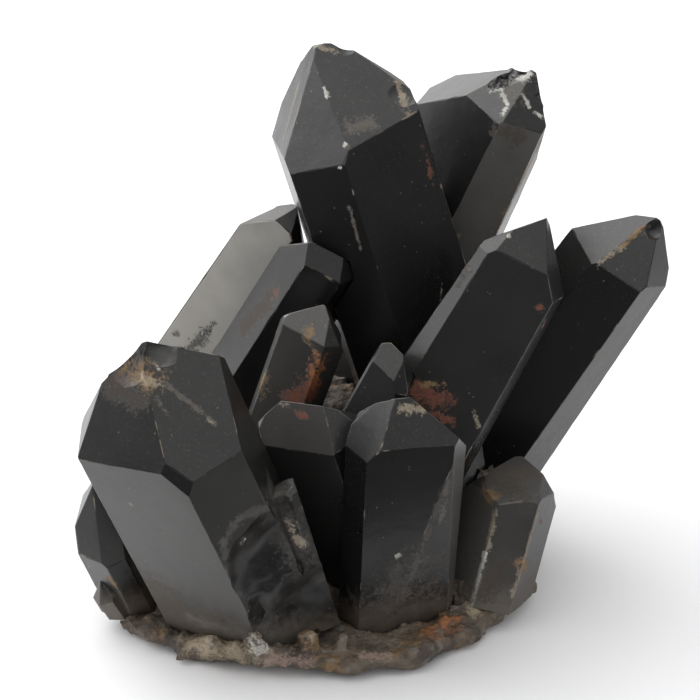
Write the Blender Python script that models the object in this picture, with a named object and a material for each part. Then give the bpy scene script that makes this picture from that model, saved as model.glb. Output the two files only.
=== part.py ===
"""Rough morion quartz: a cluster of black quartz crystals grown out of one lump of brown matrix.

Every crystal is a six-sided prism with a six-sided pointed end, as quartz grows. It is made from a cube by
slicing it with its flat faces: six sides along the axis, six cap faces that lean 51.8 degrees off it, and a
few broken faces. Crystals that grew through each other are joined in one solid, and where a crystal only
meets another one it stops short of it. Sizes are millimetres.
"""
import math

import bmesh
import bpy
from mathutils import Vector, noise

MM = 0.001
GAP = 0.3              # left between pieces that touch
CAP_SLOPE = 51.8       # degrees between the axis of quartz and the normal of a cap face
ROOT_LEVEL = 3.2       # no crystal reaches lower into the matrix than this
BLANK = 300.0          # edge of the cube that a crystal is sliced from
LARGE_CHIP = 12.0      # a chip of a larger radius gets finer faces
WAVE = 1.5             # depth of the waves in a chip
WAVE_SIZE = 3.5        # distance between them
MIDDLE = (5.19, 0.60)   # middle of the whole cluster, seen from above, which becomes the origin

# Each crystal is given by
#   tip      where its cap faces would meet, if they were all the same size
#   lean     degrees that it leans to the right (+X)
#   forward  degrees that it leans to the front (-Y)
#   turn     direction of side 0 around the axis, degrees from the front towards the right
#   length   from the tip to its root
#   sides    distances of the six sides from the axis, side 0 first, each next one 60 degrees further
#   caps     how far below the tip each cap face, over the side of the same number, crosses the axis; less than 0
#            is above the tip, where a face may be so far out that a break takes its place
#   taper    degrees that the sides lean in towards the tip
#   breaks   flat broken faces: direction around the axis, slope off the axis, depth below the tip
#   chips    shell-shaped chips: centre (x, y, z) and radius of the ball that each one follows
CRYSTALS = {
    "tall": dict(
        tip=(-4, 8, 112.5), lean=-17, forward=2, turn=-20, length=98,
        sides=(16, 10, 12, 11, 17, 16), caps=(0, 5.5, -0.5, -1.5, -9, -2.5),
        breaks=((0, 0, 1.5),),
        chips=((11.4, 5, 104.3, 5), (-0.3, 10.4, 111.4, 3))),
    "rear": dict(
        tip=(36, 18, 105.5), lean=22, forward=10, turn=-48, length=92, taper=2,
        sides=(7.6, 8.5, 8.5, 8, 14.5, 17), caps=(1, -0.8, -9, -9, -9, -14),
        breaks=((-94, 49.5, 0.3), (174, 44, 1.8), (108, 64, -0.4)),
        chips=((29, 16.8, 102.8, 3.2), (33, 17.5, 104.6, 2.6), (38.8, 12.6, 100.4, 3.5))),
    "right_inner": dict(
        tip=(38.5, -8, 82.5), lean=29, forward=-1, turn=7, length=84, taper=3,
        sides=(7, 9, 9, 9, 6.3, 11.5), caps=(0, 1.5, 1, 2, 1, -4.5)),
    "right_outer": dict(
        tip=(62, 8, 77), lean=31, forward=6, turn=-11, length=76, taper=2.5,
        sides=(9.5, 8.5, 6.3, 9, 11, 10), caps=(0, 0, 0, 2, -1.5, 0),
        chips=((60.7, 4.8, 75, 2.6),)),
    "left_rear": dict(
        tip=(-9.5, 10, 79), lean=32, forward=14, turn=-17, length=70,
        sides=(4, 5, 9, 9, 4.5, 8), caps=(0, 0, 2, 2, 0.5, 0.6),
        breaks=((240, 67, -1.3),)),
    "left_front": dict(
        tip=(0.5, -3, 78.5), lean=29, forward=16, turn=-1, length=68,
        sides=(7, 6.4, 8, 12, 9, 7.5), caps=(0, 1, 3, 10.5, 2, -4)),
    "front_left": dict(
        tip=(-35, -44, 71.5), lean=-18, forward=17, turn=-34, length=70,
        sides=(15, 14, 9.5, 8, 14, 21), caps=(0, 4, -5, 1.5, -0.5, -8),
        breaks=((-4, 68, -6.5),),
        chips=((-5.7, -57.4, 25.1, 20), (0.8, -58.9, 10.4, 26), (-43, -48.3, 67.1, 8), (-32.8, -46.3, 69.8, 5))),
    "small_centre": dict(
        tip=(-5, -12, 66), lean=18, forward=9, turn=-23, length=56,
        sides=(4.8, 6.5, 6, 5, 4.5, 6.5), caps=(0, -2, 0, 1, 1, -3)),
    "tiny_centre": dict(
        tip=(10, -21, 61), lean=24, forward=16, turn=-37, length=54,
        sides=(4, 7, 5, 4, 4, 3.5), caps=(0, -2, 0, 2.5, 0, -2)),
    "front_centre": dict(
        tip=(7, -37, 58.5), lean=2, forward=15, turn=9, length=58,
        sides=(7, 13.5, 13, 9, 6, 7.5), caps=(0, -8, -2, 3, 1, 2),
        breaks=((25, 94.1, -10.8),)),
    "front_block": dict(
        tip=(-11, -27, 53.5), lean=-14, forward=17, turn=-29, length=52,
        sides=(6.7, 12, 12, 9, 9, 8), caps=(0, -7, -7, 3, 0, -4)),
    "right_foot": dict(
        tip=(36.5, -12, 36.5), lean=13, forward=-6, turn=-1, length=34,
        sides=(8, 6.1, 7.2, 9, 11, 8.5), caps=(0, 1.5, 3.5, 0, 0, 0),
        breaks=((20, 15, 5), (-40, 31, 5.3))),
    "left_foot": dict(
        tip=(-49.5, -22, 35), lean=-16, forward=19, turn=-41, length=34,
        sides=(10.8, 10.8, 3.5, 8, 8, 6.5), caps=(0, 1, 0, 2, 2, 1.5)),
    "left_nub": dict(
        tip=(-49, -24, 12), lean=-23, forward=17, turn=-7, length=14,
        sides=(3, 2.5, 4, 4, 4, 3), caps=(0, 0, 0, 0, 0, 0)),
    "sliver": dict(
        tip=(-13.5, -38, 42), lean=-14, forward=10, turn=-20, length=37,
        sides=(2.4, 3.2, 2.6, 3, 3.2, 2.8), caps=(0, 0, 0, 0, 0, 0), breaks=((250, 22, 3.6),)),
}

# Each solid of crystals, with the crystals grown together in it. It gives way to the solids above it in the list.
CLUSTERS = {
    "front_left_crystal": ("front_left", "sliver"),
    "front_crystal_pair": ("front_centre", "front_block"),
    "left_foot_crystals": ("left_foot", "left_nub"),
    "right_foot_crystal": ("right_foot",),
    "tiny_centre_crystal": ("tiny_centre",),
    "small_centre_crystal": ("small_centre",),
    "right_inner_crystal": ("right_inner",),
    "right_outer_crystal": ("right_outer",),
    "left_crystal_pair": ("left_front", "left_rear"),
    "tall_crystal": ("tall",),
    "rear_crystal": ("rear",),
}

# The matrix: its outline seen from above, and how high it stands
OUTLINE = (
    (-22, -41), (-6, -42), (10, -40), (22, -31), (33, -18), (38, -8), (38, 8), (35, 28), (22, 46), (-1, 51.5),
    (-22, 50), (-39, 45), (-50, 34), (-53, 20), (-52, 5), (-49, -14), (-44, -27), (-34, -34.5),
)
CENTRE = (-4.0, 2.0)       # middle of the outline
LEDGE_HEIGHT = 5.0         # thickness of the ledge at the front
SWELL = 2.8                # how much thicker it is at the foot of the large front crystal
SWELL_PLACE = -18.0        # X of that foot
SWELL_WIDTH = 17.0         # distance over which the swelling fades
SHOULDER = 1.5             # height of the ledge's top above its widest part
UNDERCUT = 1.25            # more than 1: how steeply the side curves in below the widest part
LEDGE_BACK = -24.0         # where the ledge ends and the top begins to rise
RISE = 0.85                # how fast it rises from there
REAR_HEIGHT = 35.0         # height behind the crystals
BULGE = 0.5                # 1 for round shoulders, less for square ones
LUMP = 4.0                 # how far the lumps stand out
LUMP_SIZE = 11.0           # distance between lumps

# Where it swells over the feet of the crystals at the back: centre, radius, and how far it is pushed out there
SWELLINGS = (
    ((-14, 47, 29), 15.0, (-1.0, 4.0, 4.5)),
    ((3, 50, 25), 15.0, (0.5, 4.5, 4.5)),
    ((-51, 26, 25), 14.0, (-2.0, 0.5, 9.0)),
)


def collection(name):
    group = bpy.data.collections.new(name)
    bpy.context.scene.collection.children.link(group)
    return group


def material(name, colour, roughness):
    finish = bpy.data.materials.new(name)
    finish.use_nodes = True
    shader = finish.node_tree.nodes["Principled BSDF"]
    shader.inputs["Base Color"].default_value = (*colour, 1)
    shader.inputs["Roughness"].default_value = roughness
    shader.inputs["Metallic"].default_value = 0
    return finish


def place_mesh(name, body, group):
    """Makes an object of a body of faces given in millimetres, and moves it to the cluster's own origin."""
    bmesh.ops.translate(body, verts=body.verts, vec=(-MIDDLE[0], -MIDDLE[1], 0))
    bmesh.ops.scale(body, verts=body.verts, vec=(MM, MM, MM))
    mesh = bpy.data.meshes.new(name)
    body.to_mesh(mesh)
    body.free()
    shape = bpy.data.objects.new(name, mesh)
    group.objects.link(shape)
    return shape


def crystal_frame(crystal):
    """Axis of a crystal, and the two directions across it that its turn is counted from."""
    lean = math.radians(crystal["lean"])
    forward = math.radians(crystal["forward"])
    axis = Vector((
        math.sin(lean) * math.cos(forward), -math.sin(forward), math.cos(lean) * math.cos(forward)))
    front = Vector((0, -1, 0))
    front = (front - axis * front.dot(axis)).normalized()
    return axis, front, axis.cross(front)


def crystal_planes(crystal, grow):
    """Flat faces of a crystal, each as its outward normal and its distance from the tip, moved out by grow."""
    axis, front, right = crystal_frame(crystal)

    def tilted(turn, slope):
        turn, slope = math.radians(turn), math.radians(slope)
        across = front * math.cos(turn) + right * math.sin(turn)
        return across * math.sin(slope) + axis * math.cos(slope)

    planes = [(-axis, crystal["length"] + grow)]
    side_slope = 90 - crystal.get("taper", 0)
    for number in range(6):
        turn = crystal["turn"] + 60 * number
        planes.append((tilted(turn, side_slope), crystal["sides"][number] + grow))
        below = crystal["caps"][number] * math.cos(math.radians(CAP_SLOPE))
        planes.append((tilted(turn, CAP_SLOPE), grow - below))
    for turn, slope, depth in crystal.get("breaks", ()):
        planes.append((tilted(turn, slope), grow - depth))
    return planes


def slice_off(body, point, normal):
    """Cuts away what lies beyond a plane, and closes the cut."""
    everything = body.verts[:] + body.edges[:] + body.faces[:]
    bmesh.ops.bisect_plane(
        body, geom=everything, dist=0.00001, plane_co=point, plane_no=normal, clear_outer=True)
    open_edges = [edge for edge in body.edges if edge.is_boundary]
    if open_edges:
        bmesh.ops.edgeloop_fill(body, edges=open_edges)


def crystal_object(name, crystal, group, grow=0.0):
    """One crystal, sliced from a cube."""
    tip = Vector(crystal["tip"])
    body = bmesh.new()
    bmesh.ops.create_cube(body, size=BLANK)
    bmesh.ops.translate(body, verts=body.verts, vec=tip)
    for normal, distance in crystal_planes(crystal, grow):
        slice_off(body, tip + normal * distance, normal)
    slice_off(body, Vector((0, 0, ROOT_LEVEL - grow)), Vector((0, 0, -1)))
    bmesh.ops.remove_doubles(body, verts=body.verts, dist=0.001)
    bmesh.ops.recalc_face_normals(body, faces=body.faces)
    return place_mesh(name, body, group)


def chip_object(name, chip, group):
    """The ball that a shell-shaped chip follows, with the shallow waves of such a break."""
    radius = chip[3]
    body = bmesh.new()
    bmesh.ops.create_icosphere(body, subdivisions=4 if radius > LARGE_CHIP else 3, radius=radius)
    for vertex in body.verts:
        wave = WAVE * min(radius / LARGE_CHIP, 1)
        vertex.co += vertex.co.normalized() * noise.noise(vertex.co / WAVE_SIZE) * wave
    bmesh.ops.translate(body, verts=body.verts, vec=chip[:3])
    return place_mesh(name, body, group)


def combine(shape, tool, operation):
    """Joins a tool's shape to a solid, or cuts it out."""
    tool.hide_render = True
    tool.display_type = "WIRE"
    step = shape.modifiers.new(operation.lower() + "_" + tool.name, "BOOLEAN")
    step.operation = operation
    step.solver = "EXACT"
    step.object = tool


def connected_parts(body):
    """The sets of faces that hang together across their edges."""
    parts = []
    unseen = set(body.faces)
    while unseen:
        part = {unseen.pop()}
        rim = list(part)
        while rim:
            face = rim.pop()
            shared = [edge for edge in face.edges if edge.is_manifold]
            found = {other for edge in shared for other in edge.link_faces} & unseen
            unseen -= found
            part |= found
            rim.extend(found)
        parts.append(part)
    return parts


def box_volume(part):
    spans = []
    for axis in range(3):
        places = [vertex.co[axis] for face in part for vertex in face.verts]
        spans.append(max(places) - min(places))
    return math.prod(spans)


def finish_solid(shape, finish):
    """Applies the joins and cuts, and drops the crumbs that they left loose."""
    evaluated = shape.evaluated_get(bpy.context.evaluated_depsgraph_get())
    mesh = bpy.data.meshes.new_from_object(evaluated)
    body = bmesh.new()
    body.from_mesh(mesh)
    bmesh.ops.remove_doubles(body, verts=body.verts, dist=0.002 * MM)
    main = max(connected_parts(body), key=box_volume)
    crumbs = [face for face in body.faces if face not in main]
    bmesh.ops.delete(body, geom=crumbs, context="FACES")
    body.to_mesh(mesh)
    body.free()
    shape.modifiers.clear()
    shape.data = mesh
    mesh.materials.clear()
    mesh.materials.append(finish)


def outline_reach(angle):
    """Distance from the centre of the matrix to its outline, in one direction."""
    corners = []
    for x, y in OUTLINE:
        across, along = x - CENTRE[0], y - CENTRE[1]
        corners.append((math.atan2(along, across) % math.tau, math.hypot(across, along)))
    corners.sort()
    angle %= math.tau
    for number, (start, start_reach) in enumerate(corners):
        end, end_reach = corners[(number + 1) % len(corners)]
        span = (end - start) % math.tau
        passed = (angle - start) % math.tau
        if passed <= span:
            blend = 0.5 - 0.5 * math.cos(math.pi * passed / span)
            return start_reach + (end_reach - start_reach) * blend
    return corners[0][1]


def matrix_object(group):
    """The lump of matrix: a ball spread over the outline, lumpy on top and flat below."""
    body = bmesh.new()
    bmesh.ops.create_icosphere(body, subdivisions=5, radius=1)
    for vertex in body.verts:
        across, along, up = vertex.co
        out = math.hypot(across, along)
        reach = outline_reach(math.atan2(along, across)) * out ** BULGE
        x = CENTRE[0] + reach * across / max(out, 0.0001)
        y = CENTRE[1] + reach * along / max(out, 0.0001)
        ledge = LEDGE_HEIGHT + SWELL * max(1 - abs(x - SWELL_PLACE) / SWELL_WIDTH, 0)
        waist = ledge - SHOULDER
        if up > 0:
            height = min(ledge + RISE * max(y - LEDGE_BACK, 0), REAR_HEIGHT) - waist
        else:
            height = UNDERCUT * waist
        place = Vector((x, y, waist + math.copysign(abs(up) ** BULGE, up) * height))
        cell = noise.voronoi(place / LUMP_SIZE)[0]
        lump = (cell[1] - cell[0]) * LUMP - 0.35 * LUMP
        vertex.co = place + vertex.co.normalized() * lump
        for centre, radius, push in SWELLINGS:
            near = max(1 - ((place - Vector(centre)).length / radius) ** 2, 0)
            vertex.co += Vector(push) * near ** 2
    slice_off(body, Vector((0, 0, 0)), Vector((0, 0, -1)))
    bmesh.ops.recalc_face_normals(body, faces=body.faces)
    return place_mesh("matrix", body, group)


def build():
    for shape in list(bpy.data.objects):
        bpy.data.objects.remove(shape, do_unlink=True)
    parts = collection("rough_morion_quartz")
    tools = collection("cutters")
    rooms = collection("rooms_for_crystals")
    morion = material("morion", (0.012, 0.011, 0.012), 0.12)
    brown = material("brown_matrix", (0.16, 0.115, 0.075), 0.8)

    crystals = []
    stops_at = []
    for node, members in CLUSTERS.items():
        shape = crystal_object(node, CRYSTALS[members[0]], parts)
        for name in members[1:]:
            combine(shape, crystal_object("grown_in_" + name, CRYSTALS[name], tools), "UNION")
        for name in members:
            for number, chip in enumerate(CRYSTALS[name].get("chips", ())):
                combine(shape, chip_object("chip_%s_%d" % (name, number), chip, tools), "DIFFERENCE")
        for neighbour in stops_at:
            combine(shape, neighbour, "DIFFERENCE")
        for name in members:
            stops_at.append(crystal_object("room_for_" + name, CRYSTALS[name], rooms, GAP))
        crystals.append(shape)

    matrix = matrix_object(parts)
    sockets = matrix.modifiers.new("sockets", "BOOLEAN")
    sockets.operation = "DIFFERENCE"
    sockets.solver = "EXACT"
    sockets.operand_type = "COLLECTION"
    sockets.collection = rooms

    bpy.context.view_layer.update()
    for shape in crystals:
        finish_solid(shape, morion)
    finish_solid(matrix, brown)
    for tool in [*tools.objects, *rooms.objects]:
        bpy.data.objects.remove(tool, do_unlink=True)


build()
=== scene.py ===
"""Rough morion quartz: black glassy crystals with worn edges, stains and dust, grown from a brown matrix.

The crystals keep the flat faces of the CAD solids. Here their edges are worn and chipped, and the matrix
gets its broken, grainy surface. Places are given in millimetres, in the frame of the CAD source before it
was centred.
"""
import math
import random

import bmesh
import bpy
from mathutils import Euler, Matrix, Vector, noise


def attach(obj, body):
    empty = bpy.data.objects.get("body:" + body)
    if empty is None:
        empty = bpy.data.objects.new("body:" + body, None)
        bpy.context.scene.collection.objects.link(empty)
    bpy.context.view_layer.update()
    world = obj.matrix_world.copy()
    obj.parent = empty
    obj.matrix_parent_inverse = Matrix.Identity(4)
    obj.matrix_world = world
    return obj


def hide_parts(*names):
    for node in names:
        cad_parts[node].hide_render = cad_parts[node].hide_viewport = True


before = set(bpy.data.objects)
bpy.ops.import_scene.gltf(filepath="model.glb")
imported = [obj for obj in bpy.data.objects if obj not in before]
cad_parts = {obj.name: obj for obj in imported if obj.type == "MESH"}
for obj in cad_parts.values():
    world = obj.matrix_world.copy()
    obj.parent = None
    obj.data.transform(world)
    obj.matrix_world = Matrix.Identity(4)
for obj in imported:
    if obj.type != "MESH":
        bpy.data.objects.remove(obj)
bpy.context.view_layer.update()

MM = 0.001
MIDDLE = (5.19, 0.60)     # where the row's origin lies, seen from above


def at(x, y, z):
    """A place in millimetres, as a point of the row frame."""
    return Vector((x - MIDDLE[0], y - MIDDLE[1], z)) * MM


# Camera of the photograph
CAMERA_HEIGHT = 22.0       # degrees above level
CAMERA_TARGET = at(0, 0, 51)
CAMERA_DISTANCE = 400.0 * MM
CAMERA_LENS = 102.86       # for a sensor 36 mm wide

# Cleaning of a copied mesh
SAME = 0.001 * MM          # corners closer than this are one
NEAR = 0.01 * MM           # so are those of flat faces, closer than this
FLAT = math.radians(0.8)   # triangles that meet at less than this are one flat face
TINY = 0.1 * MM            # edges shorter than this are dropped from flat faces

# Worn edges
SHARP = math.radians(12)   # edges sharper than this are worn
STEP = 1.5 * MM            # distance between the corners that a worn edge gets
WORN = 0.09 * MM           # width of the wear on each side of an edge
FRAY = 0.2 * MM            # how far small chips reach in from an edge
FRAY_SIZE = 2.5 * MM
FRAYED = 0.1               # raised, more of an edge is frayed
NICK = 1.6 * MM            # how far the rarer, larger nicks reach in
NICK_SIZE = 7.0 * MM
NICKED = -0.32             # raised, nicks come more often
ROOM = 0.12                # share of a face's width that wear may take
RIDGE = 0.2                # height of a worn edge, and of its dents, as a share of its width
SUNK = 0.05                # how much lower a worn edge lies, as a share of its width

# Broken faces
SHALLOW = math.radians(26) # the faces of a break meet at less than this
SMALL = 9 * MM * MM        # and are smaller than this
CREASE = math.radians(38)  # ridges in a break that are sharper than this stay sharp
RIPPLE = 0.22 * MM         # depth of the ripples of broken quartz
RIPPLE_SIZE = 2.2 * MM
SPLINTER = 0.55 * MM       # depth of the splinters of a shattered tip
SPLINTER_SIZE = 0.9 * MM

# The sheet of floor that shows in the gloss: width, depth, and how far it reaches to the front
FLOOR_SHEET = (1.2, 1.6, 0.054)

# Crust of the matrix
GRAINS = 160
GRAIN_SIZE = (1.2 * MM, 3.4 * MM)
GRAIN_SEED = 4
BLOCK = 0.8                # edge of the cube that a grain of size 1 is made from
SQUASH = (0.6, 1)          # how far a grain's three widths differ
OVERHANG = -0.3            # grains sit where the surface faces up more than this
GRID = 0.75 * MM           # spacing of the crust's mesh

# Its chunks: size and height in millimetres, large ones first, and then its finest roughness
CHUNKS = ((7.0, 0.9), (2.6, 0.35))
CHUNK_TILT = 1.4
FINE_CRUST = (2.0, 0.2)
UNDERSIDE = 0.6            # the crust begins at this height, in millimetres
FLOOR_GAP = 0.1 * MM       # and stays this far above the floor
CREASED = math.radians(40) # ridges of the crust that are sharper than this stay sharp

# Quartz chips that stand up from it: place and size in millimetres
CHIPS = (((-7.6, -38.8, 7.5), 4.6), ((-18, -41.5, 8.3), 4.2), ((-1.5, -38, 7), 2.6), ((-26, -39, 6.5), 3.4))


class Value:
    """A number coming out of a node, for writing shader maths as plain expressions."""

    def __init__(self, shader, socket):
        self.shader = shader
        self.socket = socket

    def maths(self, operation, first, second):
        return self.shader.node("ShaderNodeMath", {"operation": operation}, {0: first, 1: second})

    def __add__(self, other):
        return self.maths("ADD", self, other)

    def __radd__(self, other):
        return self.maths("ADD", other, self)

    def __sub__(self, other):
        return self.maths("SUBTRACT", self, other)

    def __rsub__(self, other):
        return self.maths("SUBTRACT", other, self)

    def __mul__(self, other):
        return self.maths("MULTIPLY", self, other)

    def __rmul__(self, other):
        return self.maths("MULTIPLY", other, self)

    def __truediv__(self, other):
        return self.maths("DIVIDE", self, other)

    def __gt__(self, other):
        return self.maths("GREATER_THAN", self, other)

    def at_most(self, other):
        return self.maths("MINIMUM", self, other)

    def at_least(self, other):
        return self.maths("MAXIMUM", self, other)


class Shader:
    """A material that is being made."""

    def __init__(self, name):
        self.material = bpy.data.materials.new(name)
        self.material.use_nodes = True
        self.tree = self.material.node_tree
        self.surface = self.tree.nodes["Principled BSDF"]
        self.place = self.node("ShaderNodeTexCoord", {}, {}, "Object")

    def node(self, kind, settings, inputs, output=0):
        """Adds a node, with its settings first and then the values or links of its sockets."""
        node = self.tree.nodes.new(kind)
        for name, setting in settings.items():
            setattr(node, name, setting)
        for name, value in inputs.items():
            self.feed(node.inputs[name], value)
        return Value(self, node.outputs[output])

    def feed(self, socket, value):
        if isinstance(value, Value):
            self.tree.links.new(value.socket, socket)
        elif isinstance(value, tuple) and len(value) == 3 and socket.type == "RGBA":
            socket.default_value = (*value, 1)
        else:
            socket.default_value = value

    def noise(self, size, detail=4, roughness=0.55, distortion=0.0):
        """Soft noise from 0 to 1, with features about the given size."""
        return self.node("ShaderNodeTexNoise", {}, {
            "Vector": self.place, "Scale": 1 / size, "Detail": detail, "Roughness": roughness,
            "Distortion": distortion})

    def cells(self, size, output="Distance"):
        """Distance to the middle of the nearest cell, in cell sizes, or the cell's own random colour."""
        return self.node("ShaderNodeTexVoronoi", {}, {"Vector": self.place, "Scale": 1 / size}, output)

    def ramp(self, value, low, high):
        """Rises smoothly from 0 at low to 1 at high. High may be the smaller of the two."""
        return self.node("ShaderNodeMapRange", {"interpolation_type": "SMOOTHSTEP", "clamp": True}, {
            "Value": value, "From Min": low, "From Max": high})

    def mix(self, mask, first, second):
        """Colour: first where the mask is 0, second where it is 1."""
        return self.node("ShaderNodeMix", {"data_type": "RGBA"}, {
            "Factor": mask, 6: first, 7: second}, 2)

    def vector(self, operation, first, second, output="Vector"):
        return self.node("ShaderNodeVectorMath", {"operation": operation}, {0: first, 1: second}, output)

    def away_from(self, start, end):
        """Distance to the straight line from one place to another, both in millimetres."""
        start, end = at(*start), at(*end)
        along = end - start
        path = self.vector("SUBTRACT", self.place, tuple(start))
        share = tuple(along / max(along.length_squared, MM * MM))
        passed = self.vector("DOT_PRODUCT", path, share, "Value")
        nearest = self.node("ShaderNodeVectorMath", {"operation": "SCALE"}, {
            0: tuple(along), "Scale": passed.at_least(0).at_most(1)})
        return self.vector("DISTANCE", path, nearest, "Value")

    def attribute(self, name):
        return self.node("ShaderNodeAttribute", {"attribute_name": name}, {}, "Fac")

    def height(self):
        return self.node("ShaderNodeSeparateXYZ", {}, {0: self.place}, "Z")

    def bump(self, height, depth, before=None):
        """Normals for a height from 0 to 1 that stands for the given depth."""
        inputs = {"Height": height, "Strength": 1.0, "Distance": depth}
        if before is not None:
            inputs["Normal"] = before
        return self.node("ShaderNodeBump", {}, inputs)

    def set(self, **inputs):
        for name, value in inputs.items():
            self.feed(self.surface.inputs[name.replace("_", " ")], value)


# Colours
BLACK = (0.0044, 0.0044, 0.0050)
DUST = (0.50, 0.48, 0.44)
SMOKE = (0.075, 0.068, 0.060)
RUST = (0.20, 0.055, 0.024)
GOLD = (0.24, 0.145, 0.06)
BEIGE = (0.29, 0.24, 0.175)
CHALK = (0.62, 0.60, 0.55)
BROWN = (0.050, 0.034, 0.023)
STONE = (0.12, 0.105, 0.088)
CREAM = (0.40, 0.33, 0.22)
BLUSH = (0.34, 0.24, 0.20)
ORANGE = (0.40, 0.14, 0.04)
SHADE = (0.010, 0.008, 0.008)
FOOT = (0.085, 0.065, 0.047)
ROCK = (0.050, 0.038, 0.030)
PALE_ROCK = (0.17, 0.135, 0.10)
# painted shade: the dark that stands for the shade in the rock's hollows
HOLLOW_SHADE = (0.018, 0.015, 0.013)
GREY_GRAIN = (0.20, 0.19, 0.17)
PAPER = (0.84, 0.84, 0.85)


def select_only(shape):
    bpy.ops.object.select_all(action="DESELECT")
    shape.select_set(True)
    bpy.context.view_layer.objects.active = shape


def copy_of(node, flat):
    """A copy of a CAD node as a piece of its own. Where it is flat, triangles are merged into whole faces."""
    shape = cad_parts[node].copy()
    shape.data = shape.data.copy()
    shape.name = "dressed_" + node
    bpy.context.scene.collection.objects.link(shape)
    select_only(shape)
    bpy.ops.object.mode_set(mode="EDIT")
    bpy.ops.mesh.select_all(action="SELECT")
    bpy.ops.mesh.remove_doubles(threshold=SAME)
    if flat:
        bpy.ops.mesh.remove_doubles(threshold=NEAR)
        bpy.ops.mesh.dissolve_limited(angle_limit=FLAT)
        bpy.ops.mesh.dissolve_degenerate(threshold=TINY)
    bpy.ops.mesh.normals_make_consistent(inside=False)
    bpy.ops.object.mode_set(mode="OBJECT")
    return shape


def find_breaks(shape, pale):
    """Marks the small faces of breaks, which meet at shallow angles, and the faces with a pale film."""
    pale = [(shape.closest_point_on_mesh(at(*place))[3], amount) for place, amount in pale]
    body = bmesh.new()
    body.from_mesh(shape.data)
    broken = body.faces.layers.float.new("broken")
    film = body.faces.layers.float.new("film")
    body.faces.ensure_lookup_table()
    for index, amount in pale:
        body.faces[index][film] = amount
    for face in body.faces:
        if face.calc_area() < SMALL:
            face[broken] = any(edge.calc_face_angle(math.pi) < SHALLOW for edge in face.edges)
    body.to_mesh(shape.data)
    body.free()


def ripple_breaks(shape, shattered):
    """Gives the faces of breaks the ripples of broken quartz, or splinters where it is shattered."""
    body = bmesh.new()
    body.from_mesh(shape.data)
    broken = body.faces.layers.float["broken"]
    inner = [edge for edge in body.edges if all(face[broken] for face in edge.link_faces)]
    bmesh.ops.subdivide_edges(body, edges=inner, cuts=1, use_grid_fill=True)
    inner = [vertex for vertex in body.verts if all(face[broken] for face in vertex.link_faces)]
    for turn in range(2):
        bmesh.ops.smooth_vert(
            body, verts=inner, factor=0.5, use_axis_x=True, use_axis_y=True, use_axis_z=True)
    size, depth = (SPLINTER_SIZE, SPLINTER) if shattered else (RIPPLE_SIZE, RIPPLE)
    moved = [vertex.co + vertex.normal * noise.noise(vertex.co / size) * depth for vertex in inner]
    for vertex, spot in zip(inner, moved):
        vertex.co = spot
    body.to_mesh(shape.data)
    body.free()


def split_sharp_edges(shape):
    """Puts corners along every sharp edge between flat faces, a step apart, and selects those edges."""
    body = bmesh.new()
    body.from_mesh(shape.data)
    broken = body.faces.layers.float["broken"]

    def sharp(edge):
        whole = not any(face[broken] for face in edge.link_faces)
        return whole and edge.is_manifold and edge.calc_face_angle() > SHARP

    for edge in [edge for edge in body.edges if sharp(edge)]:
        start, end = edge.verts
        pieces = max(round(edge.calc_length() / STEP), 1)
        for left in range(pieces, 1, -1):
            start = bmesh.utils.edge_split(edge, start, 1 / left)[1]
            edge = next(other for other in start.link_edges if other.other_vert(start) == end)
    for item in [*body.faces, *body.edges, *body.verts]:
        item.select = False
    for face in body.faces:
        face.material_index = 0
    for edge in body.edges:
        if sharp(edge):
            edge.select_set(True)
    body.to_mesh(shape.data)
    body.free()


def fray(shape, shattered):
    """Moves the borders of the worn strips unevenly into the flat faces, and marks what the finish needs."""
    body = bmesh.new()
    body.from_mesh(shape.data)
    broken = body.faces.layers.float["broken"]
    worn = body.faces.layers.float.new("worn")
    upward = body.faces.layers.float.new("upward")
    strips = {face for face in body.faces if face.material_index == 1}
    borders = {}
    for vertex in body.verts:
        flat = [face for face in vertex.link_faces if face not in strips]
        if len(flat) == 1 and len(vertex.link_faces) > 1:
            outward = Vector()
            for face in vertex.link_faces:
                if face in strips:
                    outward += face.normal
            outward -= flat[0].normal * outward.dot(flat[0].normal)
            if outward.length > 0.01:
                borders[vertex] = -outward.normalized(), flat[0]
    moved = {}
    for vertex, (inward, face) in borders.items():
        room = math.sqrt(face.calc_area()) * ROOM
        small = max(noise.noise(vertex.co / FRAY_SIZE) + FRAYED, 0) * FRAY
        large = max(noise.noise(vertex.co / NICK_SIZE + face.normal * 3) + NICKED, 0) * NICK
        moved[vertex] = vertex.co + inward * min(small + large, room)
    for vertex, spot in moved.items():
        vertex.co = spot
    for vertex in body.verts:
        sides = [edge.other_vert(vertex) for edge in vertex.link_edges]
        sides = [side for side in sides if side in borders]
        if vertex not in borders and len(sides) == 2:
            middle = (sides[0].co + sides[1].co) / 2
            width = (sides[0].co - sides[1].co).length
            rise = (vertex.co - middle).dot(vertex.normal)
            dent = noise.noise(vertex.co / FRAY_SIZE + Vector((5, 5, 5))) * RIDGE * width
            vertex.co = middle + vertex.normal * (min(rise, RIDGE * width) + dent - SUNK * width)
    body.normal_update()
    for face in body.faces:
        face[worn] = face in strips
        face[upward] = max(face.normal.z, 0)
        face[broken] = face[broken] and face not in strips
        face.material_index = 0
        face.smooth = not (shattered and face[broken])
    for edge in body.edges:
        uneven = all(face[broken] or face[worn] for face in edge.link_faces)
        edge.smooth = uneven and edge.calc_face_angle(math.pi) < CREASE
    body.to_mesh(shape.data)
    body.free()


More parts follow.
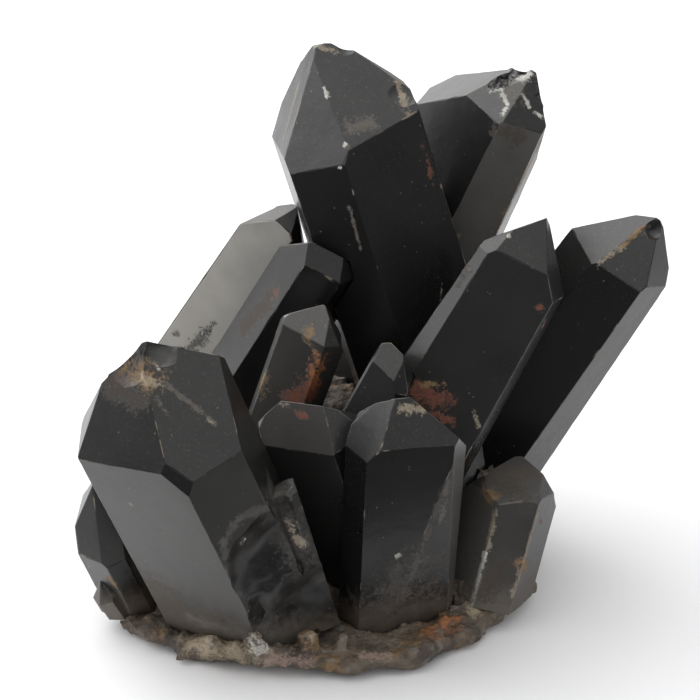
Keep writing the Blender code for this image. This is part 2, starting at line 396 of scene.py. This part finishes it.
def dressed_crystal(node, finish, pale=(), shattered=False):
    """The piece that stands for a node of crystals: flat faces, worn edges and rippled breaks."""
    shape = copy_of(node, flat=True)
    shape.data.materials.clear()
    shape.data.materials.append(finish)
    shape.data.materials.append(None)
    find_breaks(shape, pale)
    ripple_breaks(shape, shattered)
    split_sharp_edges(shape)
    select_only(shape)
    bpy.ops.object.mode_set(mode="EDIT")
    bpy.ops.mesh.select_mode(type="EDGE")
    bpy.ops.mesh.bevel(offset=WORN, segments=2, profile=0.5, clamp_overlap=False, material=1)
    bpy.ops.object.mode_set(mode="OBJECT")
    fray(shape, shattered)
    shape.data.materials.clear()
    shape.data.materials.append(finish)
    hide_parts(node)
    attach(shape, "root")
    return shape


def crust_grains(shape):
    """Quartz grains and chips on the matrix: small blocks of random size and turn, as one loose mesh."""
    chance = random.Random(GRAIN_SEED)
    spots = [vertex.co.copy() for vertex in shape.data.vertices if vertex.normal.z > OVERHANG]
    blocks = [(chance.choice(spots), chance.uniform(*GRAIN_SIZE)) for number in range(GRAINS)]
    blocks += [(at(*place), size * MM) for place, size in CHIPS]
    body = bmesh.new()
    for place, size in blocks:
        scale = [size * chance.uniform(*SQUASH) for axis in range(3)]
        turn = Euler([chance.uniform(0, math.tau) for axis in range(3)])
        bmesh.ops.create_cube(body, size=BLOCK, matrix=Matrix.LocRotScale(place, turn, scale))
    mesh = bpy.data.meshes.new("crust_grains")
    body.to_mesh(mesh)
    body.free()
    grains = bpy.data.objects.new("crust_grains", mesh)
    bpy.context.scene.collection.objects.link(grains)
    return grains


def chunk_lift(spot, size):
    """Height of a surface broken into chunks about a size across, each with a tilted face of its own."""
    seed = noise.voronoi(spot / size)[1][0]
    tilt = Vector([noise.noise(seed * 3.7 + Vector((0, 0, 20 * axis))) for axis in range(3)])
    return (spot / size - seed).dot(tilt) * CHUNK_TILT + noise.noise(seed * 5.3)


def dressed_matrix(finish):
    """The matrix: the CAD lump with a crust of quartz grains, broken into rough chunks."""
    shape = copy_of("matrix", flat=False)
    grains = crust_grains(shape)
    select_only(shape)
    grains.select_set(True)
    bpy.ops.object.join()
    remesh = shape.modifiers.new("even_mesh", "REMESH")
    remesh.mode = "VOXEL"
    remesh.voxel_size = GRID
    bpy.ops.object.modifier_apply(modifier=remesh.name)
    outward = [vertex.normal.copy() for vertex in shape.data.vertices]
    for vertex, normal in zip(shape.data.vertices, outward):
        spot = vertex.co / MM
        lift = sum(chunk_lift(spot, size) * height for size, height in CHUNKS)
        lift += noise.fractal(spot / FINE_CRUST[0], 0.9, 2.1, 3) * FINE_CRUST[1]
        if spot.z > UNDERSIDE:
            vertex.co += normal * lift * MM
            vertex.co.z = max(vertex.co.z, FLOOR_GAP)
    shape.data.materials.clear()
    shape.data.materials.append(finish)
    bpy.ops.object.shade_smooth_by_angle(angle=CREASED)
    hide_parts("matrix")
    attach(shape, "root")
    return shape


# How ragged the marks are
RAGGED_SIZE = 0.7 * MM
PATCHY_SIZE = 2.2 * MM
MARK_FADE = 0.36           # how fast a mark thins out with distance, counted in its own radius
MARK_LEVEL = 0.93          # lowered, every mark covers more


def add_marks(shader, colour, marks):
    """Lays ragged marks over a colour. Each has a colour, a radius and one or two places it runs through."""
    ragged = shader.noise(RAGGED_SIZE, detail=8, roughness=0.8)
    patchy = shader.noise(PATCHY_SIZE, detail=4)
    covered = 0.0
    for tint, radius, *places in marks:
        reach = shader.away_from(places[0], places[-1]) / (radius * MM)
        soft = 0.07 + 0.03 * radius
        strength = ragged * 1.5 + patchy * 0.8 - reach * MARK_FADE
        mask = shader.ramp(strength, MARK_LEVEL - soft, MARK_LEVEL + soft)
        colour = shader.mix(mask * (0.05 + ragged * 1.2), colour, tint)
        covered = mask.at_least(covered)
    return colour, covered


# Patterns of the black quartz
CLOUD_SIZE = 14 * MM       # broad clouds in the gloss and the dust
FINE_SIZE = 1.4 * MM
SATIN_SIZE = 0.55 * MM     # the finest grain of the faces
SWIRL_SIZE = 7 * MM        # swirls in the breaks and the feet
WEAR_SIZE = 4 * MM         # stretches of an edge that are worn pale
DOT_SIZE = 1.9 * MM        # distance between light specks
DOTS_LEFT_OUT = 0.6        # share of the places that have no speck
FEET_FROM = 12 * MM        # the brown feet begin below this height
FEET_FULL = 5 * MM         # and are brown all over below this one
FEET_RAGGED = (9 * MM, 8 * MM)

# How deep its relief is
CLOUD_RELIEF = 0.22 * MM
SATIN_RELIEF = 0.012 * MM
STAIN_RELIEF = 0.05 * MM
BREAK_RELIEF = 0.15 * MM

THIN_DUST = 0.006          # dust that lies on every face
SATIN = 0.22               # roughness of a clean face
QUARTZ_IOR = 1.54


def morion(name, dust, marks):
    """Black quartz: satin, with dust on what faces up, light nicks at worn edges, stains and brown feet."""
    shader = Shader(name)
    worn = shader.attribute("worn")
    broken = shader.attribute("broken")
    film = shader.attribute("film")
    upward = shader.attribute("upward")
    cloudy = shader.noise(CLOUD_SIZE)
    fine = shader.noise(FINE_SIZE, detail=6, roughness=0.65)
    grain = shader.noise(SATIN_SIZE, detail=2, roughness=0.7)
    swirl = shader.noise(SWIRL_SIZE, detail=4, distortion=0.8)

    colour = shader.mix(broken * shader.ramp(swirl, 0.45, 0.80) * 0.5, BLACK, SMOKE)
    uneven = (fine - 0.5) * FEET_RAGGED[0] + (cloudy - 0.5) * FEET_RAGGED[1]
    feet = shader.ramp(shader.height() + uneven, FEET_FROM, FEET_FULL)
    colour = shader.mix(feet * (0.25 + swirl), colour, FOOT)
    speckle = shader.ramp(grain, 0.58, 0.80) * 0.15
    powder = (upward * dust + film + THIN_DUST) * (0.5 + cloudy) + speckle * (0.15 + upward)
    colour = shader.mix(powder, colour, DUST)
    chosen = shader.cells(DOT_SIZE, "Color") > DOTS_LEFT_OUT
    dots = shader.ramp(shader.cells(DOT_SIZE), 0.10, 0.05) * chosen
    colour = shader.mix(dots * 0.45, colour, BEIGE)
    wear = worn * shader.ramp(shader.noise(WEAR_SIZE, detail=5), 0.56, 0.66)
    colour = shader.mix(wear * 0.5, colour, BEIGE)
    colour, covered = add_marks(shader, colour, marks)

    normal = shader.bump(cloudy, CLOUD_RELIEF)
    normal = shader.bump(grain, SATIN_RELIEF, normal)
    normal = shader.bump(covered * fine, STAIN_RELIEF, normal)
    normal = shader.bump(broken * swirl, BREAK_RELIEF, normal)
    rough = SATIN + cloudy * 0.12 + powder * 0.8 + covered * 0.4 + wear * 0.3 + feet * 0.25
    shader.set(Base_Color=colour, Roughness=rough, IOR=QUARTZ_IOR, Normal=normal)
    return shader.material


# Patterns of the brown rock, and how deep its relief is
PATCH_SIZE = 9 * MM
GOLD_SIZE = 5 * MM
PIECE_SIZE = 1.6 * MM
CRUMB_SIZE = 1.5 * MM
PIT_SIZE = 1.3 * MM
ROCK_RELIEF = 0.5 * MM
ROCK_IOR = 1.5


def matrix_finish(marks):
    """Brown rock: dark grains, painted shade in blotches that stand for hollows, pale quartz chips, golden
    and rusty patches.
    """
    shader = Shader("brown_matrix_rock")
    coarse = shader.noise(PATCH_SIZE, detail=5)
    fine = shader.noise(CRUMB_SIZE, detail=7, roughness=0.7)
    other = shader.noise(GOLD_SIZE, detail=6, roughness=0.65, distortion=0.6)
    pieces = shader.cells(PIECE_SIZE, "Color")
    colour = shader.mix(shader.ramp(coarse, 0.35, 0.65), ROCK, PALE_ROCK)
    colour = shader.mix(shader.ramp(other, 0.56, 0.75), colour, GOLD)
    # painted shade: dark blotches, laid by noise, stand for the shade in the rock's hollows
    colour = shader.mix(shader.ramp(other + fine * 0.4, 0.62, 0.50) * 0.6, colour, HOLLOW_SHADE)
    colour = shader.mix(shader.ramp(pieces, 0.70, 0.85) * 0.5, colour, GREY_GRAIN)
    colour = shader.mix(shader.ramp(fine, 0.62, 0.74), colour, BEIGE)
    colour, covered = add_marks(shader, colour, marks)
    normal = shader.bump(shader.cells(PIT_SIZE), ROCK_RELIEF)
    normal = shader.bump(fine, ROCK_RELIEF, normal)
    shader.set(Base_Color=colour, Roughness=0.45 + fine * 0.4, IOR=ROCK_IOR, Normal=normal)
    return shader.material


# What each piece of crystals looks like: dust, faces with a pale film, and marks
LOOKS = {
    "tall_crystal": dict(dust=0.025, marks=(
        (BEIGE, 1.2, (10, 8, 101), (11, 5.5, 98)),
        (BEIGE, 1.0, (9, 10, 104), (10, 8, 101)),
        (STONE, 2.0, (0, -2, 97), (4, 0, 98)),
        (CHALK, 0.6, (-5, 3, 104), (-4.4, 2, 102.5)),
        (CHALK, 0.6, (-1, -5, 95)),
        (CHALK, 0.6, (-2, -7, 91)),
        (BEIGE, 0.8, (-7, 10, 110), (2, 10, 109)),
        (STONE, 0.5, (0, -6, 83), (2, -6, 74)),
        (RUST, 1.0, (13, 6, 93), (16, 6, 84)),
        (BEIGE, 0.5, (18, 2, 61), (18, 3, 64)),
        (BEIGE, 0.6, (-10, 11, 103), (-13, 6, 93)))),
    "rear_crystal": dict(dust=0.03, shattered=True, pale=(((30, 13, 85), 0.13), ((36, 17, 84), 0.10)), marks=(
        (CHALK, 1.6, (33, 17, 102.5), (35, 17, 103)),
        (CHALK, 1.0, (28, 17, 100), (30, 17, 100)),
        (CHALK, 0.7, (30, 16, 100), (31, 13, 98)),
        (CHALK, 0.6, (31, 13, 98), (30, 12, 95.5)),
        (CHALK, 0.6, (34, 14.5, 99.5), (36, 13, 97)),
        (CHALK, 0.6, (36, 13, 97), (38, 14, 95)),
        (STONE, 2.4, (32, 15.5, 100.5), (33, 15, 98)),
        (BEIGE, 0.8, (29, 24, 101.5), (33, 20, 103)),
        (RUST, 0.8, (29.5, 12, 95)),
        (BEIGE, 1.9, (39, 15.5, 91), (35, 15.5, 80)),
        (GOLD, 1.9, (37, 15.5, 85), (30.5, 15.5, 70)),
        (BROWN, 2.5, (30, 12, 93), (33, 12, 92)),
        (BEIGE, 0.8, (22, 15, 70)))),
    "right_inner_crystal": dict(dust=0.05, pale=(((24, -17, 66), 0.018),), marks=(
        (RUST, 1.0, (36, -15, 66), (37, -12, 61)),
        (RUST, 2.4, (13, -19, 50), (18, -17, 48)),
        (GOLD, 0.9, (14, -19, 51.5), (19, -17, 51)),
        (RUST, 1.3, (16, -18, 45), (20, -17, 43)),
        (BEIGE, 0.6, (24, -17, 45), (25, -17, 42)),
        (BEIGE, 0.4, (23, -17, 49), (22, -17, 51)),
        (STONE, 1.1, (12, -19, 62), (22, -16, 74)),
        (CHALK, 0.6, (30, -14, 80)))),
    "right_outer_crystal": dict(dust=0.02, marks=(
        (BEIGE, 0.8, (49, 1, 69), (54, 3, 72)),
        (GOLD, 0.8, (54, 3, 72), (58, 6, 75)),
        (CHALK, 0.7, (60, 5, 76)),
        (STONE, 2.0, (59.5, 4.5, 75)),
        (BEIGE, 0.5, (50, 0, 52)))),
    "left_crystal_pair": dict(dust=0.07, pale=(((-23, 12, 64), 0.60), ((-16, 11, 76), 0.10)), marks=(
        (RUST, 1.5, (-15, -2, 64)),
        (BEIGE, 0.7, (-15.5, -1.5, 62.5)),
        (BROWN, 2.6, (-16, -1, 63), (-21, 4, 54)),
        (SHADE, 0.9, (-28.3, 14, 51), (-30, 15, 48.5)),
        (SHADE, 1.8, (-30.5, 15, 48), (-33, 16.5, 45)),
        (BROWN, 1.0, (-36, 18, 47.5)))),
    "front_left_crystal": dict(dust=0.055, pale=(((-37, -43, 35), 0.06), ((-24, -50, 42), 0.04)), marks=(
        (GOLD, 3.2, (-41, -43, 65), (-36, -45, 64)),
        (BROWN, 3.0, (-44, -42, 62), (-38, -45, 60)),
        (BEIGE, 1.4, (-36.5, -45, 64), (-34, -45, 62.5)),
        (CHALK, 1.1, (-39, -44, 64)),
        (CHALK, 0.9, (-34, -44, 65)),
        (STONE, 0.7, (-33, -45, 63), (-24, -47, 56)),
        (STONE, 0.6, (-34, -47, 61), (-31, -48, 55)),
        (BEIGE, 0.5, (-26, -47, 57.5), (-24.5, -47, 56)),
        (BLUSH, 0.8, (-40, -43, 38)),
        (CHALK, 1.2, (-18, -45, 30), (-19, -45, 31)),
        (SMOKE, 1.5, (-15, -44, 38), (-20, -47, 37)),
        (SMOKE, 1.3, (-20, -47, 37), (-23, -48, 33)),
        (SMOKE, 1.1, (-23, -48, 33), (-22, -47, 25)),
        (SMOKE, 4.0, (-14, -38, 38), (-9, -38, 25)),
        (BEIGE, 1.1, (-11.5, -38, 33), (-9, -38, 27)),
        (STONE, 0.8, (-13.5, -38, 37.5), (-9.5, -38, 37.5)),
        (STONE, 0.7, (-13.5, -38, 35.3), (-9.5, -38, 35.3)),
        (FOOT, 6.5, (-40, -32, 13), (-22, -39, 5)),
        (STONE, 2.2, (-30, -34, 9), (-24, -38, 8)),
        (SMOKE, 4.0, (-20, -40, 9), (-10, -38, 9)))),
    "front_crystal_pair": dict(dust=0.03, pale=(
        ((-9, -30, 48), 0.07), ((18, -33, 35), 0.07), ((-9, -29, 36), 0.02)), marks=(
        (BEIGE, 0.9, (7, -36, 57), (9, -37, 55.5)),
        (BEIGE, 1.3, (9.5, -38, 55), (13, -38, 54.5)),
        (GOLD, 0.8, (12, -37, 55.5), (15.5, -37, 54)),
        (CHALK, 1.0, (9, -34, 23)),
        (CHALK, 0.6, (15, -36, 31)),
        (STONE, 0.8, (18, -37, 40), (17, -34, 30)),
        (SMOKE, 1.2, (18, -37, 40), (10, -31, 10)),
        (SMOKE, 6.0, (6, -31, 10), (12, -32, 20)),
        (FOOT, 6.0, (3, -30, 6), (15, -28, 8)),
        (BEIGE, 0.7, (-13, -27, 51), (-4, -28, 51)),
        (RUST, 0.9, (-10, -29, 50), (-4, -30, 48.5)))),
    "small_centre_crystal": dict(dust=0.07, pale=(
        ((-10, -15, 61), 0.08), ((-11, -14, 54), 0.06), ((-3, -15, 57), 0.04)), marks=(
        (GOLD, 1.4, (-8, -15, 61), (-7, -15, 58)),
        (ORANGE, 2.0, (-6, -15, 56), (-7, -16, 50)),
        (RUST, 3.0, (-8, -15, 49), (-11, -14, 46)),
        (GOLD, 1.8, (-17, -12, 50), (-18, -12, 46)))),
    "tiny_centre_crystal": dict(dust=0.06, marks=(
        (BEIGE, 0.5, (7, -20, 60), (11, -21, 60)),
        (STONE, 1.5, (4, -19, 50)))),
    "right_foot_crystal": dict(dust=0.08, pale=(
        ((29, -22, 16), 0.05), ((30, -15, 29), 0.04), ((25, -20, 14), 0.13)), marks=(
        (GOLD, 1.9, (23, -14, 31), (28, -18.5, 27.5)),
        (BEIGE, 0.7, (25, -18, 29), (28, -21, 26)),
        (FOOT, 3.5, (30, -14, 30), (36, -13, 29)),
        (RUST, 1.0, (34, -18, 27), (37, -18, 22)),
        (BROWN, 3.0, (30, -16, 29), (34, -19, 27)),
        (BEIGE, 0.9, (28, -21, 26), (27, -22, 18)),
        (CHALK, 0.8, (26.5, -22, 17), (24, -23, 6)),
        (BEIGE, 0.8, (37, -20, 26), (32, -23, 8)),
        (GOLD, 1.6, (33, -22, 15), (36, -20, 12)),
        (SMOKE, 4.0, (25, -20, 12), (24, -21, 7)),
        (BROWN, 3.0, (30, -22, 14), (26, -22, 8)))),
    "left_foot_crystals": dict(dust=0.08, pale=(((-47, -27, 6), 0.12),), marks=(
        (GOLD, 1.2, (-47, -27, 14), (-44, -27, 6)),
        (BEIGE, 0.8, (-52, -24, 12), (-51, -25, 16)))),
}

MATRIX_MARKS = (
    (CREAM, 4.2, (-31, -36, 6), (-21, -40, 5)),
    (CHALK, 2.2, (-18, -42, 9), (-17, -42, 7)),
    (BLUSH, 2.4, (-15, -41, 4), (-9, -42, 4)),
    (GOLD, 3.2, (-8.5, -39, 8), (-6.5, -38.5, 7.5)),
    (CREAM, 1.6, (-7.5, -40, 9)),
    (BLUSH, 1.2, (-1, -38, 8)),
    (GOLD, 2.0, (-4, -41, 3), (4, -39, 3)),
    (BLUSH, 1.4, (2, -40, 4), (7, -39, 4)),
    (GOLD, 2.0, (9, -38, 3), (13, -36, 4)),
    (GOLD, 3.2, (18, -27, 7), (12, -34, 6)),
    (CREAM, 1.6, (24, -24, 5), (30, -20, 5)),
    (ORANGE, 3.4, (20.5, -27, 7), (16, -31.5, 6)),
    (BROWN, 5.0, (-42, -26, 5), (-34, -31, 7)),
)


def floor():
    """A pale floor: the sheet that the cluster stands on, and the rest, which the gloss doesn't show."""
    paper = Shader("pale_floor")
    paper.set(Base_Color=PAPER, Roughness=0.7)
    width, depth, reach = FLOOR_SHEET
    bpy.ops.object.select_all(action="DESELECT")
    bpy.ops.mesh.primitive_plane_add(size=1, location=(0, depth / 2 - reach, 0))
    near = bpy.context.object
    near.name = "floor_near"
    near.scale = (width, depth, 1)
    bpy.ops.object.transform_apply(location=True, rotation=True, scale=True)
    far = near.copy()
    far.data = near.data.copy()
    far.name = "floor_far"
    bpy.context.scene.collection.objects.link(far)
    select_only(far)
    bpy.ops.object.mode_set(mode="EDIT")
    bpy.ops.mesh.select_all(action="SELECT")
    bpy.ops.mesh.delete(type="ONLY_FACE")
    bpy.ops.mesh.select_all(action="SELECT")
    bpy.ops.mesh.extrude_edges_move()
    bpy.ops.transform.resize(value=(30, 30, 1))
    bpy.ops.object.mode_set(mode="OBJECT")
    far.visible_glossy = False
    for sheet in (near, far):
        sheet.data.materials.append(paper.material)


# Lamps: name, place, what each is turned to, width, height and radiance
LAMPS = (
    ("ceiling", (-0.2, 0.2, 0.9), (0, 0, 0), 0.9, 0.9, 1.7),
    ("left_wall", (-0.9, 0.1, 0.55), (0, 0, 0.05), 1.0, 1.1, 1.7),
    ("back_window", (-0.7, 0.7, 0.7), (0, 0, 0.05), 0.5, 0.5, 3.0),
    ("back_wall", (-0.42, 0.95, 0.36), (0, 0, 0.08), 0.9, 0.5, 1.6),
)
ROOM_LIGHT = 0.85          # brightness of the room where it lights dull surfaces
BACKDROP = 0.82            # and where it shows behind the cluster
GLOSS_DARK = (0.05, 0.12)  # in the gloss: how far up the dark ends, and its brightness
GLOSS_LIGHT = (0.8, 1.05)  # how far up the room is brightest, and its brightness there


def soft_light(name, place, aim, width, height, radiance):
    light = bpy.data.lights.new(name, "AREA")
    light.shape = "RECTANGLE"
    light.size = width
    light.size_y = height
    light.energy = radiance * width * height * math.pi
    lamp = bpy.data.objects.new(name, light)
    bpy.context.scene.collection.objects.link(lamp)
    lamp.location = place
    lamp.rotation_euler = (Vector(aim) - Vector(place)).to_track_quat("-Z", "Y").to_euler()
    lamp.visible_camera = False


def studio():
    """Plain soft light: a bright ceiling, pale walls to the left and behind, and a dim room in front."""
    world = bpy.data.worlds.new("studio")
    bpy.context.scene.world = world
    world.use_nodes = True
    tree = world.node_tree
    ground = tree.nodes["Background"]
    direction = tree.nodes.new("ShaderNodeTexCoord").outputs["Generated"]
    split = tree.nodes.new("ShaderNodeSeparateXYZ")
    tree.links.new(direction, split.inputs[0])
    up = tree.nodes.new("ShaderNodeMapRange")
    up.inputs["From Min"].default_value, up.inputs["To Min"].default_value = GLOSS_DARK
    up.inputs["From Max"].default_value, up.inputs["To Max"].default_value = GLOSS_LIGHT
    tree.links.new(split.outputs["Z"], up.inputs["Value"])
    ray = tree.nodes.new("ShaderNodeLightPath")
    backdrop = tree.nodes.new("ShaderNodeMix")
    tree.links.new(ray.outputs["Is Camera Ray"], backdrop.inputs[0])
    backdrop.inputs[2].default_value = ROOM_LIGHT
    backdrop.inputs[3].default_value = BACKDROP
    shown = tree.nodes.new("ShaderNodeMix")
    tree.links.new(ray.outputs["Is Glossy Ray"], shown.inputs[0])
    tree.links.new(backdrop.outputs[0], shown.inputs[2])
    tree.links.new(up.outputs[0], shown.inputs[3])
    tree.links.new(shown.outputs[0], ground.inputs["Strength"])
    ground.inputs["Color"].default_value = (1, 1, 1, 1)
    for lamp in LAMPS:
        soft_light(*lamp)


def camera():
    eye = bpy.data.cameras.new("camera")
    eye.lens = CAMERA_LENS
    eye.sensor_width = 36
    eye.clip_start = 0.01
    height = math.radians(CAMERA_HEIGHT)
    stand = bpy.data.objects.new("camera", eye)
    bpy.context.scene.collection.objects.link(stand)
    stand.location = CAMERA_TARGET + CAMERA_DISTANCE * Vector((0, -math.cos(height), math.sin(height)))
    stand.rotation_euler = (math.radians(90) - height, 0, 0)
    bpy.context.scene.camera = stand


for node, look in LOOKS.items():
    finish = morion(node + "_finish", look["dust"], look["marks"])
    dressed_crystal(node, finish, look.get("pale", ()), look.get("shattered", False))
dressed_matrix(matrix_finish(MATRIX_MARKS))
floor()
studio()
camera()
bpy.context.scene.view_settings.view_transform = "Standard"
